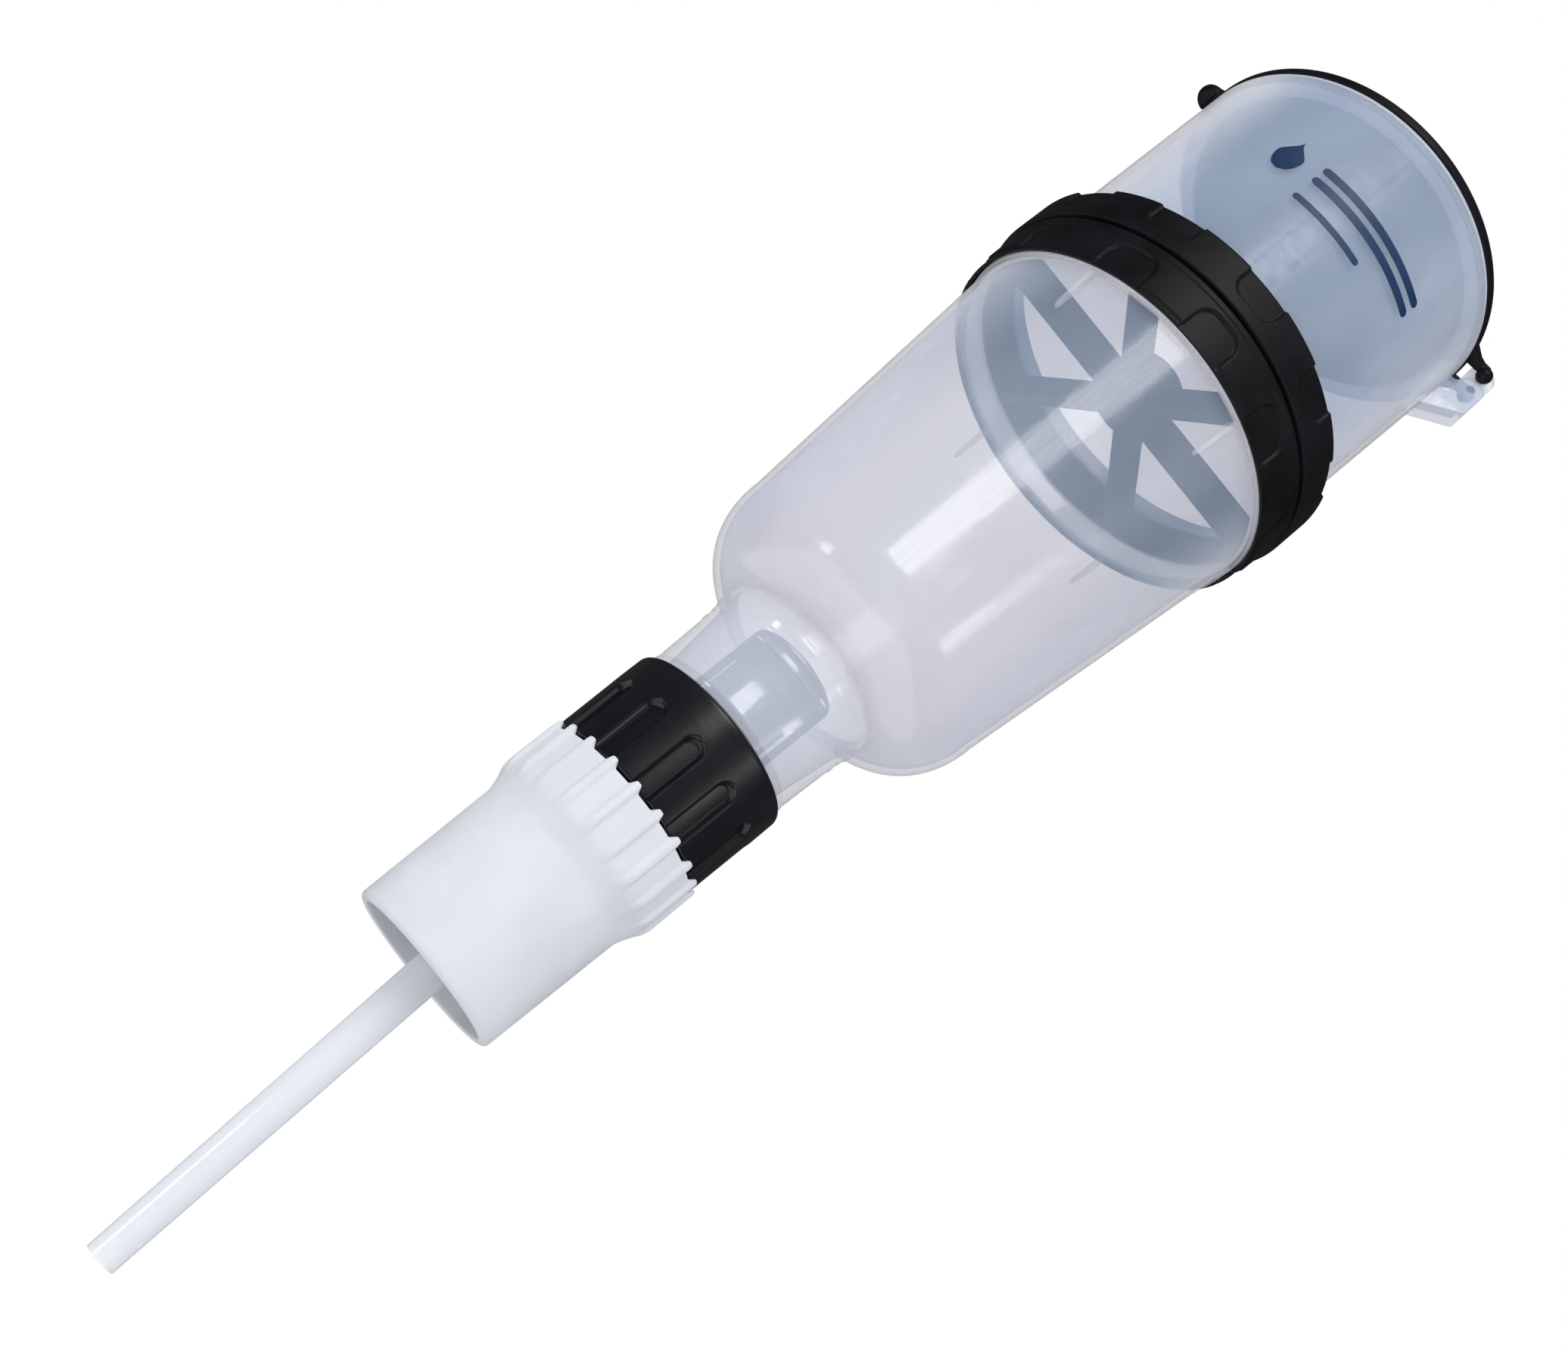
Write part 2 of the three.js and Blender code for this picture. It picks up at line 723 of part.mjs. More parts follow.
// ---------- adapter and spout ----------
function adapterSocket() {
  const { endRadius, barrelRadius, barrelEnd, skirtStart, skirtRadius, skirtEnd } = ADAPTER;
  const { socketRadius, floor, chamberRadius, chamberEnd, skirtBore, spoutHole } = ADAPTER;
  const catchZ = [RETAINER.z - 1.3, RETAINER.z + 1.3];
  const body = revolve(
    [
      [spoutHole, floor[0]],
      [socketRadius, floor[0]],
      [socketRadius, 0],
      [endRadius - 1, 0],
      [endRadius, 1.2],
      [barrelRadius, barrelEnd],
      [skirtRadius, skirtStart],
      [skirtRadius, skirtEnd],
      [skirtBore, skirtEnd],
      [skirtBore, catchZ[1]],
      [RETAINER.outer + 0.5, catchZ[1]],
      [RETAINER.outer + 0.5, catchZ[0]],
      [skirtBore, catchZ[0]],
      [skirtBore, chamberEnd],
      [chamberRadius, chamberEnd],
      [chamberRadius, floor[1]],
      [spoutHole, floor[1]],
    ],
    ROUND,
  );
  const { ribs, ribTurn, ribRadius, ribEnd, ribWidth } = ADAPTER;
  const inner = NUT.radius + 0.4;
  const profile = new THREE.Shape();
  profile.moveTo(barrelRadius - 0.6, barrelEnd - 1);
  profile.lineTo(ribRadius, skirtStart + 0.5);
  profile.lineTo(ribRadius, ribEnd);
  profile.lineTo(inner, ribEnd);
  profile.lineTo(inner, skirtEnd);
  profile.lineTo(inner - 1.2, skirtEnd);
  profile.lineTo(inner - 1.2, skirtStart);
  const rib = slab(profile, -ribWidth / 2, ribWidth / 2);
  const { threadStart, threadPitch, threadTurns } = ADAPTER;
  const rise = threadPitch * threadTurns;
  const helix = new Helix(socketRadius, threadStart, rise, 0, 360 * threadTurns);
  const thread = rail(helix, rectangle(1.6, 2), 20 * threadTurns);
  return joined([body, thread, ...around(ribs, (a) => turned(rib, a + ribTurn))]);
}

const tankGasket = () =>
  ring(13, ADAPTER.socketRadius - GAP, ADAPTER.floor[0] - GAP - 1.6, ADAPTER.floor[0] - GAP, ROUND);

// The spout and its clamp stand in a group that leans off the axis at the adapter's floor.
function spoutTube() {
  const { length, tipRadius, rootRadius, wall, pivot, flangeRadius } = SPOUT;
  const bottom = -length - pivot;
  return revolve(
    [
      [tipRadius - wall, bottom],
      [tipRadius, bottom],
      [rootRadius, -2],
      [rootRadius, 0],
      [flangeRadius, 0],
      [flangeRadius, 1],
      [rootRadius - wall, 1],
    ],
    SMALL,
  );
}

function spoutClamp() {
  const { rootRadius, wall, flangeRadius } = SPOUT;
  const bottom = 1 + GAP;
  return revolve(
    [
      [rootRadius - wall, bottom],
      [flangeRadius + 0.5, bottom],
      [flangeRadius + 0.5, bottom + 0.7],
      [rootRadius - wall + 1.5, bottom + 1.1],
      [rootRadius - wall, bottom + 1.1],
    ],
    SMALL,
  );
}

function leaningSpout() {
  const group = new THREE.Group();
  group.add(part("spout_tube", spoutTube(), "translucent"));
  group.add(part("spout_clamp", spoutClamp(), "white"));
  const towards = degrees(SPOUT.leanTowards);
  const axis = new THREE.Vector3(-Math.sin(towards), Math.cos(towards), 0);
  group.quaternion.setFromAxisAngle(axis, -degrees(SPOUT.lean));
  group.position.z = SPOUT.pivot;
  return group;
}

// ---------- the assembly ----------
const funnel = new THREE.Group();
funnel.add(
  part("adapter_socket", adapterSocket(), "white"),
  leaningSpout(),
  part("tank_gasket", tankGasket(), "rubber"),
  part("cam_ring", camRing(), "white"),
  part("adapter_seal", adapterSeal(), "rubber"),
  part("retaining_ring", retainingRing(), "steel"),
  part("neck_nut", neckNut(), "black"),
  part("valve_body", valveBody(), "black"),
  part("neck_gasket", neckGasket(), "rubber"),
  part("valve_cage", valveCage(), "black"),
  part("spring_cup", springCup(), "white"),
  part("valve_poppet", valvePoppet(), "black"),
  part("poppet_seal", poppetSeal(), "rubber"),
  part("lift_rod", liftRod(), "black"),
  part("valve_spring", valveSpring(), "steel"),
  part("lower_vessel", lowerVessel(), "translucent"),
  part("lower_collar", lowerCollar(), "black"),
  part("spoked_grid", spokedGrid(), "black"),
  part("coupling_gasket", couplingGasket(), "rubber"),
  part("upper_collar", upperCollar(), "black"),
  part("upper_vessel", upperVessel(), "translucent"),
  part("lid", lid(), "black"),
  part("lid_seal", lidSeal(), "translucent"),
);

export default funnel;
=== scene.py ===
"""The looks of a hand-held filling funnel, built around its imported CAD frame.

Shapes are written in millimetres, in the frame's own axes: +Z up the funnel's axis to the lid, +X to the
lid's hinge. Heights that a piece shares with its CAD node are read from that node's box.
"""

import json
import math

import bmesh
import bpy
import numpy as np
from mathutils import Matrix, Vector


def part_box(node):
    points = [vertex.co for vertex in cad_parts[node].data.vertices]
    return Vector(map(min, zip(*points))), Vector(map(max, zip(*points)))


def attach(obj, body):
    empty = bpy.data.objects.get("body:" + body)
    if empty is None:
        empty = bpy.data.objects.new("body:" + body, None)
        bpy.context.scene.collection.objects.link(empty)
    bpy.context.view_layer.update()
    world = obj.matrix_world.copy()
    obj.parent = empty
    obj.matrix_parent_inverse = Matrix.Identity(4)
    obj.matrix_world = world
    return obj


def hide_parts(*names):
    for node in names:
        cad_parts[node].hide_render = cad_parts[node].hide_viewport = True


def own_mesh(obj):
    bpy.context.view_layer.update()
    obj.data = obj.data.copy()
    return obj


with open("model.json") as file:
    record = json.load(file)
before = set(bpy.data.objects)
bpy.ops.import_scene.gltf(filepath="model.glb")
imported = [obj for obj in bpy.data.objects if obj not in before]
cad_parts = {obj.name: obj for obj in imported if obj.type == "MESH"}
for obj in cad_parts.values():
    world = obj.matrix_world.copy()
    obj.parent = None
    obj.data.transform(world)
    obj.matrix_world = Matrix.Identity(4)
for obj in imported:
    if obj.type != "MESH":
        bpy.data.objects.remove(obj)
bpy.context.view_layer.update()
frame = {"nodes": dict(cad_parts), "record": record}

MM = 0.001
FULL_TURN = 2 * math.pi
UP = Vector((0, 0, 1))


def span(node, axis=2):
    """The lowest and highest place of a CAD node along an axis, in millimetres."""
    low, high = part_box(node)
    return low[axis] / MM, high[axis] / MM


# ---------- camera ----------
PICTURE_WIDTH = 2072
FOCAL_LENGTH = 2320  # in the same unit as PICTURE_WIDTH
SENSOR = 36
VIEW_TURN = math.radians(11)  # the camera's heading, round from the hinge's plane
VIEW_RISE = math.radians(20.74)  # how steeply it looks up along the funnel
AXIS_TILT = math.radians(38.77)  # the funnel's axis in the picture, above the horizontal
DISTANCE = 527.2
AIM_HEIGHT = 136.3
SIDE_STEP = -0.8

SIDE = Vector((math.cos(VIEW_TURN), math.sin(VIEW_TURN), 0))
AWAY = Vector((-math.sin(VIEW_TURN), math.cos(VIEW_TURN), 0))
LOOK = AWAY * math.cos(VIEW_RISE) + UP * math.sin(VIEW_RISE)
ALONG = UP * math.cos(VIEW_RISE) - AWAY * math.sin(VIEW_RISE)
RIGHT = ALONG * math.cos(AXIS_TILT) + SIDE * math.sin(AXIS_TILT)
TOP = ALONG * math.sin(AXIS_TILT) - SIDE * math.cos(AXIS_TILT)


def facing(right, up, back):
    """The turn of an object whose own axes lie along these directions."""
    return Matrix((right, up, back)).transposed().to_4x4()


def add_camera():
    data = bpy.data.cameras.new("camera")
    data.sensor_width = SENSOR
    data.lens = FOCAL_LENGTH / PICTURE_WIDTH * SENSOR
    data.clip_start = 0.01
    camera = bpy.data.objects.new("camera", data)
    bpy.context.scene.collection.objects.link(camera)
    place = UP * AIM_HEIGHT - LOOK * DISTANCE + SIDE * SIDE_STEP
    camera.matrix_world = Matrix.Translation(place * MM) @ facing(RIGHT, TOP, -LOOK)
    bpy.context.scene.camera = camera


# ---------- light ----------
LIT_POINT = Vector((0, 0, 0.2))
FILL_LIGHT = 0.95
ROOM_REFLECTION = 0.07
FLOOR_HEIGHT = -0.45
FLOOR_SIZE = 1.6


def add_softbox(name, azimuth, elevation, size, power, distance=1.2, mirrored=True):
    """A light on the room's side of the camera, in degrees right of its heading and above the horizon.

    One that isn't mirrored lights the funnel evenly and shows in no gloss."""
    a, b = math.radians(azimuth), math.radians(elevation)
    heading = (SIDE * math.sin(a) - AWAY * math.cos(a)) * math.cos(b) + UP * math.sin(b)
    data = bpy.data.lights.new(name, "AREA")
    data.shape = "RECTANGLE"
    data.size, data.size_y = size
    data.energy = power
    light = bpy.data.objects.new(name, data)
    bpy.context.scene.collection.objects.link(light)
    across = UP.cross(heading).normalized()
    turn = facing(across, heading.cross(across), heading)
    light.matrix_world = Matrix.Translation(LIT_POINT + heading * distance) @ turn
    light.visible_camera = False
    light.visible_glossy = mirrored


def add_world():
    """White behind the funnel, with a dimmer room for its light and its reflections."""
    world = bpy.data.worlds.new("studio")
    bpy.context.scene.world = world
    world.use_nodes = True
    nodes = world.node_tree.nodes
    links = world.node_tree.links
    nodes.clear()
    path = nodes.new("ShaderNodeLightPath")
    fill = nodes.new("ShaderNodeBackground")
    fill.inputs["Color"].default_value = (0.93, 0.96, 1, 1)
    fill.inputs["Strength"].default_value = FILL_LIGHT
    room = nodes.new("ShaderNodeBackground")
    room.inputs["Color"].default_value = (0.95, 0.97, 1, 1)
    room.inputs["Strength"].default_value = ROOM_REFLECTION
    backdrop = nodes.new("ShaderNodeBackground")
    backdrop.inputs["Color"].default_value = (1, 1, 1, 1)
    backdrop.inputs["Strength"].default_value = 1
    by_gloss = nodes.new("ShaderNodeMixShader")
    by_camera = nodes.new("ShaderNodeMixShader")
    output = nodes.new("ShaderNodeOutputWorld")
    links.new(path.outputs["Is Glossy Ray"], by_gloss.inputs[0])
    links.new(fill.outputs[0], by_gloss.inputs[1])
    links.new(room.outputs[0], by_gloss.inputs[2])
    links.new(path.outputs["Is Camera Ray"], by_camera.inputs[0])
    links.new(by_gloss.outputs[0], by_camera.inputs[1])
    links.new(backdrop.outputs[0], by_camera.inputs[2])
    links.new(by_camera.outputs[0], output.inputs["Surface"])


# ---------- meshes ----------
def rounded(corners, steps=5):
    """A closed loop of (radius, height, cut) corners, each cut back by cut and bridged by a curve."""
    points = []
    for i, corner in enumerate(corners):
        here = np.array(corner[:2], float)
        cut = corner[2] if len(corner) > 2 else 0
        if not cut:
            points.append(here)
            continue
        before = np.array(corners[i - 1][:2]) - here
        after = np.array(corners[(i + 1) % len(corners)][:2]) - here
        start = here + before / np.linalg.norm(before) * cut
        end = here + after / np.linalg.norm(after) * cut
        for t in np.linspace(0, 1, steps + 1):
            points.append((1 - t) ** 2 * start + 2 * t * (1 - t) * here + t**2 * end)
    return np.array(points)


def dense(loop, step):
    """The closed loop with no stretch longer than step."""
    points = []
    for here, after in zip(loop, np.roll(loop, -1, axis=0)):
        count = max(1, math.ceil(np.linalg.norm(after - here) / step))
        for t in np.arange(count) / count:
            points.append(here + (after - here) * t)
    return np.array(points)


def to_object(name, mesh, sharp=32):
    """The mesh as a clean, smooth-shaded object with its faces pointing out."""
    work = bmesh.new()
    work.from_mesh(mesh)
    bmesh.ops.remove_doubles(work, verts=work.verts, dist=1e-6)
    bmesh.ops.recalc_face_normals(work, faces=work.faces)
    work.to_mesh(mesh)
    work.free()
    mesh.shade_smooth()
    mesh.set_sharp_from_angle(angle=math.radians(sharp))
    piece = bpy.data.objects.new(name, mesh)
    bpy.context.scene.collection.objects.link(piece)
    return piece


def from_points(name, points, faces, sharp=32):
    mesh = bpy.data.meshes.new(name)
    mesh.from_pydata((np.asarray(points, float) * MM).tolist(), [], faces)
    return to_object(name, mesh, sharp)


def revolve(name, loop, sides=160, shape=None, sharp=32):
    """A body turned about Z from a loop of (radius, height).

    shape(angle, radius, height) moves its points."""
    loop = np.asarray(loop, float)
    on_axis = loop[0, 0] == 0 and loop[-1, 0] == 0
    count = len(loop)
    angle = np.arange(sides)[:, None] * FULL_TURN / sides
    radius = np.tile(loop[:, 0], (sides, 1))
    height = np.tile(loop[:, 1], (sides, 1))
    if shape:
        radius, height = shape(angle, radius, height)
    points = np.stack([radius * np.cos(angle), radius * np.sin(angle), height], axis=-1)
    faces = []
    for i in range(sides):
        here, after = i * count, (i + 1) % sides * count
        for j in range(count - 1 if on_axis else count):
            k = (j + 1) % count
            faces.append((here + j, after + j, after + k, here + k))
    return from_points(name, points.reshape(-1, 3), faces, sharp)


def plate(name, outlines, thickness, bevel, place):
    """A flat shape with rounded edges. outlines are closed lists of (x, y), holes after the outside."""
    curve = bpy.data.curves.new(name, "CURVE")
    curve.dimensions = "2D"
    curve.fill_mode = "BOTH"
    curve.extrude = (thickness / 2 - bevel) * MM
    curve.bevel_depth = bevel * MM
    curve.bevel_resolution = 3
    curve.offset = -bevel * MM
    for outline in outlines:
        spline = curve.splines.new("POLY")
        spline.points.add(len(outline) - 1)
        for point, (x, y) in zip(spline.points, outline):
            point.co = (x * MM, y * MM, 0, 1)
        spline.use_cyclic_u = True
    drawn = bpy.data.objects.new(name, curve)
    mesh = bpy.data.meshes.new_from_object(drawn)
    bpy.data.objects.remove(drawn)
    bpy.data.curves.remove(curve)
    mesh.transform(place)
    return to_object(name, mesh)


def lying(height):
    """The place of a plate that lies flat, with its middle at a height."""
    return Matrix.Translation((0, 0, height * MM))


def standing(y):
    """The place of a plate that stands in the X-Z plane, with its middle at y."""
    return Matrix.Translation((0, y * MM, 0)) @ Matrix.Rotation(math.pi / 2, 4, "X")


def turned(piece, angle):
    piece.data.transform(Matrix.Rotation(angle, 4, "Z"))
    return piece


def combine(name, pieces, operation="UNION", sharp=32):
    """The first piece with the others added or cut away, as one closed mesh."""
    body = pieces[0]
    for other in pieces[1:]:
        modifier = body.modifiers.new("cut", "BOOLEAN")
        modifier.operation = operation
        modifier.solver = "EXACT"
        modifier.object = other
    depsgraph = bpy.context.evaluated_depsgraph_get()
    mesh = bpy.data.meshes.new_from_object(body.evaluated_get(depsgraph))
    for piece in pieces:
        bpy.data.objects.remove(piece)
    return to_object(name, mesh, sharp)


def copies(make, count, first=0):
    """Pieces made by make(i), turned to even places round the axis."""
    return [turned(make(i), first + i * FULL_TURN / count) for i in range(count)]


def arc(x, y, radius, start, end, steps=12):
    """Points on an arc about (x, y), with its angles in degrees."""
    angles = np.radians(np.linspace(start, end, steps + 1))
    return [(x + radius * math.cos(a), y + radius * math.sin(a)) for a in angles]


def ease(x):
    """0 below 0, 1 above 1, and smooth between."""
    x = np.clip(x, 0, 1)
    return x * x * (3 - 2 * x)


def pad_cover(angle, radius, height, count, first, width, tip, corner, soft, towards):
    """How far a point is inside the nearest of a ring of U-shaped finger pads, from 0 to 1.

    tip is the height of the closed end, and towards is +1 where the pads open above it, or -1 below."""
    pitch = FULL_TURN / count
    across = np.abs((angle - first + pitch / 2) % pitch - pitch / 2) * radius
    from_side = width / 2 - across
    from_tip = (height - tip) * towards
    in_corner = (from_side < corner) & (from_tip < corner)
    round_corner = corner - np.hypot(corner - from_side, corner - from_tip)
    inside = np.where(in_corner, round_corner, np.minimum(from_side, from_tip))
    return ease(inside / soft)


# ---------- materials ----------
def new_material(name):
    material = bpy.data.materials.new(name)
    material.use_nodes = True
    nodes = material.node_tree.nodes
    return material, nodes, material.node_tree.links, nodes["Principled BSDF"]


def add_noise(nodes, links, scale, detail=3, stretch=(1, 1, 1)):
    """Noise on the piece's own coordinates, with scale in features a metre."""
    where = nodes.new("ShaderNodeTexCoord")
    mapping = nodes.new("ShaderNodeMapping")
    mapping.inputs["Scale"].default_value = stretch
    noise = nodes.new("ShaderNodeTexNoise")
    noise.inputs["Scale"].default_value = scale
    noise.inputs["Detail"].default_value = detail
    links.new(where.outputs["Object"], mapping.inputs["Vector"])
    links.new(mapping.outputs["Vector"], noise.inputs["Vector"])
    return noise


def add_range(nodes, links, source, low, high, start=0.3, end=0.7):
    """Source's values from start to end spread over low to high."""
    spread = nodes.new("ShaderNodeMapRange")
    spread.inputs["From Min"].default_value = start
    spread.inputs["From Max"].default_value = end
    spread.inputs["To Min"].default_value = low
    spread.inputs["To Max"].default_value = high
    links.new(source, spread.inputs["Value"])
    return spread.outputs["Result"]


def add_colours(nodes, links, source, colours):
    """A ramp from the first colour to the last over source's middle values."""
    ramp = nodes.new("ShaderNodeValToRGB")
    ramp.color_ramp.elements[0].position = 0.35
    ramp.color_ramp.elements[0].color = (*colours[0], 1)
    ramp.color_ramp.elements[1].position = 0.65
    ramp.color_ramp.elements[1].color = (*colours[1], 1)
    links.new(source, ramp.inputs["Fac"])
    return ramp.outputs["Color"]


def add_bump(nodes, links, shader, source, height):
    """Bump of the given height in millimetres."""
    bump = nodes.new("ShaderNodeBump")
    bump.inputs["Distance"].default_value = height * MM
    links.new(source, bump.inputs["Height"])
    links.new(bump.outputs["Normal"], shader.inputs["Normal"])


def moulded(name, colours, roughness, grain_size=0.5, grain_height=0.03, shine=0.5):
    """Opaque moulded plastic or rubber with a fine grain, uneven gloss and a little dust."""
    material, nodes, links, shader = new_material(name)
    patches = add_noise(nodes, links, 55)
    grain = add_noise(nodes, links, 1 / (grain_size * MM), 2)
    links.new(add_colours(nodes, links, patches.outputs["Fac"], colours), shader.inputs["Base Color"])
    gloss = add_range(nodes, links, patches.outputs["Fac"], *roughness)
    links.new(gloss, shader.inputs["Roughness"])
    shader.inputs["Specular IOR Level"].default_value = shine
    add_bump(nodes, links, shader, grain.outputs["Fac"], grain_height)
    return material


def add_math(nodes, links, operation, first, second):
    """The result of a Math node over two values."""
    math_node = nodes.new("ShaderNodeMath")
    math_node.operation = operation
    links.new(first, math_node.inputs[0])
    links.new(second, math_node.inputs[1])
    return math_node.outputs[0]


def add_band(nodes, links, hidden, low, high, cover):
    """hidden, raised to at least cover between two heights."""
    where = nodes.new("ShaderNodeTexCoord")
    parts = nodes.new("ShaderNodeSeparateXYZ")
    links.new(where.outputs["Object"], parts.inputs[0])
    soft = 1.2
    rise = add_range(nodes, links, parts.outputs["Z"], 0, cover, (low - soft) * MM, low * MM)
    fall = add_range(nodes, links, parts.outputs["Z"], cover, 0, high * MM, (high + soft) * MM)
    both = add_math(nodes, links, "MINIMUM", rise, fall)
    return add_math(nodes, links, "MAXIMUM", both, hidden)


def milky(name, colours, thick_and_lit_colour, cover, edge_cover, roughness=(0.1, 0.2), bands=()):
    """Cloudy see-through plastic that looks bluish where it is thin and white where it is thick.

    cover is how much of its own colour hides what is behind one surface, seen square on and edge on.
    bands are (low, high, cover) for heights in millimetres between which the wall hides more and turns
    whiter: some stand for a thicker wall, some are painted light."""
    material, nodes, links, shader = new_material(name)
    clouds = add_noise(nodes, links, 26, 4, (1, 1, 0.35))
    streaks = add_noise(nodes, links, 420, 2, (1, 1, 0.05))
    ripple = add_noise(nodes, links, 90, 2)
    thin = add_colours(nodes, links, clouds.outputs["Fac"], colours)
    links.new(add_range(nodes, links, streaks.outputs["Fac"], *roughness), shader.inputs["Roughness"])
    shader.inputs["IOR"].default_value = 2.2
    add_bump(nodes, links, shader, ripple.outputs["Fac"], 0.12)
    weight = nodes.new("ShaderNodeLayerWeight")
    weight.inputs["Blend"].default_value = 0.35
    slant = add_range(nodes, links, weight.outputs["Facing"], cover, edge_cover, 0.25, 1)
    mist = add_range(nodes, links, clouds.outputs["Fac"], 0.9, 1.12)
    hidden = add_math(nodes, links, "MULTIPLY", slant, mist)
    for band in bands:
        hidden = add_band(nodes, links, hidden, *band)
    # Whiter where the wall hides more: thick plastic, slanting views, and the painted light of a light
    # band.
    thickness = add_range(nodes, links, hidden, 0, 1, cover * 1.1, 0.62)
    whiten = nodes.new("ShaderNodeMix")
    whiten.data_type = "RGBA"
    whiten.inputs["B"].default_value = (*thick_and_lit_colour, 1)
    links.new(thickness, whiten.inputs["Factor"])
    links.new(thin, whiten.inputs["A"])
    links.new(whiten.outputs["Result"], shader.inputs["Base Color"])
    clear = nodes.new("ShaderNodeBsdfTransparent")
    clear.inputs["Color"].default_value = (1, 0.968, 0.952, 1)
    mix = nodes.new("ShaderNodeMixShader")
    links.new(hidden, mix.inputs[0])
    links.new(clear.outputs[0], mix.inputs[1])
    links.new(shader.outputs[0], mix.inputs[2])
    links.new(mix.outputs[0], nodes["Material Output"].inputs["Surface"])
    return material


def metal(name, colours, roughness):
    material, nodes, links, shader = new_material(name)
    drawn = add_noise(nodes, links, 900, 3, (1, 1, 0.1))
    links.new(add_colours(nodes, links, drawn.outputs["Fac"], colours), shader.inputs["Base Color"])
    links.new(add_range(nodes, links, drawn.outputs["Fac"], *roughness), shader.inputs["Roughness"])
    shader.inputs["Metallic"].default_value = 0.6
    return material


MILK = ((0.46, 0.57, 0.75), (0.54, 0.65, 0.82))
# Whitest milk, for thick plastic and for the painted light inside the lower collar.
THICK_AND_LIT_MILK = (0.96, 0.965, 1)
NECK_BAND = (70, 140, 0.43)
# Painted light: where the wall runs inside the lower collar it is whitened and made almost opaque, standing
# in for light scattered between the vessel and the collar's skirt.
RIM_PAINTED_LIGHT = (278.5, 287.6, 0.97)
LIP_BAND = (395.8, 398, 0.5)
materials = {
    "clear_body": milky("clear_body", MILK, THICK_AND_LIT_MILK, 0.22, 0.68, bands=(NECK_BAND, RIM_PAINTED_LIGHT)),
    "clear_top": milky("clear_top", MILK, THICK_AND_LIT_MILK, 0.33, 0.74, bands=(LIP_BAND,)),
    "spout_clear": milky(
        "spout_clear", ((0.84, 0.87, 0.93), (0.9, 0.92, 0.97)), (0.97, 0.98, 1), 0.74, 0.92
    ),
    "black_plastic": moulded(
        "black_plastic", ((0.0035, 0.0033, 0.005), (0.0065, 0.006, 0.009)), (0.42, 0.55), shine=0.24
    ),
    # Painted highlight: the ribs are the vessel's own plastic, given a whiter colour so that they look lit.
    "rib_clear_painted_highlight": milky("rib_clear_painted_highlight", ((0.8, 0.84, 0.9), (0.86, 0.89, 0.94)), THICK_AND_LIT_MILK, 0.2, 0.36),
    "nut_black": moulded(
        "nut_black", ((0.005, 0.005, 0.007), (0.008, 0.008, 0.011)), (0.26, 0.36), 0.8, 0.02
    ),
    "white_plastic": moulded(
        "white_plastic", ((0.6, 0.613, 0.645), (0.635, 0.645, 0.672)), (0.42, 0.55), 1.1, 0.03
    ),
    "rubber_black": moulded("rubber_black", ((0.01, 0.01, 0.011), (0.016, 0.016, 0.017)), (0.6, 0.75)),
    "seal_clear": moulded("seal_clear", ((0.5, 0.54, 0.6), (0.58, 0.61, 0.66)), (0.35, 0.5)),
    "spring_steel": metal("spring_steel", ((0.72, 0.73, 0.75), (0.84, 0.85, 0.87)), (0.3, 0.45)),
    "print_blue": moulded("print_blue", ((0.006, 0.026, 0.08), (0.009, 0.033, 0.1)), (0.35, 0.5)),
}


def dress(piece, body, slot, *nodes, material=None):
    """Gives a new piece its body and the material of its slot, unless another is named, and hides the CAD
    nodes it stands for.
    """
    piece.data.materials.clear()
    piece.data.materials.append(materials[material or slot])
    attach(piece, body)
    if nodes:
        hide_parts(*nodes)
    return piece


# ---------- lower vessel ----------
WALL = 1.8
SHOULDER = {"start": 141.2, "end": 167.3, "inner": 30.3, "outer": 52, "power": 2.12}
CONE_RADIUS = 62.6
RIM_RADIUS = 63.9


def shoulder(inset, steps=26):
    """The rounded shoulder from the neck to the cone, a quarter of a superellipse."""
    reach = SHOULDER["outer"] - SHOULDER["inner"]
    rise = SHOULDER["end"] - SHOULDER["start"] - inset
    power = 2 / SHOULDER["power"]
    points = []
    for u in np.linspace(0, math.pi / 2, steps):
        radius = SHOULDER["inner"] - inset + reach * math.sin(u) ** power
        points.append((radius, SHOULDER["end"] - rise * max(math.cos(u), 0) ** power))
    return points


def lower_vessel():
    mouth, rim = span("lower_vessel")
    cone_end = span("lower_collar")[0]
    outside = [
        (26.5, mouth, 0.4),
        (26.5, 105.3),
        (28.3, 105.6, 0.4),
        (28.5, 107.4),
        (28.95, 108),
        (28.6, 108.7),
        (29.45, 127.5),
        (29.85, 128.3, 0.3),
        (29.5, 129.2),
        (29.65, 131.3),
        (30.05, 132.1, 0.3),
        (29.75, 133, 0.3),
        (31, 135.8, 0.8),
        (30.6, 138.4, 0.8),
        (30.3, 140.6, 0.3),
        *shoulder(0),
        (CONE_RADIUS, cone_end, 0.4),
        (RIM_RADIUS, cone_end + 2, 0.4),
        (RIM_RADIUS, rim, 0.5),
    ]
    inside = [
        (26.5 - WALL, mouth, 0.4),
        (26.5 - WALL, 107),
        (27.6, 131),
        (29, 138),
        *shoulder(WALL),
        (CONE_RADIUS - WALL, cone_end, 0.6),
        (RIM_RADIUS - WALL, cone_end + 2, 0.6),
        (RIM_RADIUS - WALL, rim, 0.5),
    ]
    vessel = revolve("lower_vessel", rounded(outside + inside[::-1]), 192)
    dress(vessel, "bottle", "clear_body", "lower_vessel")


VESSEL_RIBS = 6
VESSEL_RIB_TURN = math.radians(4)


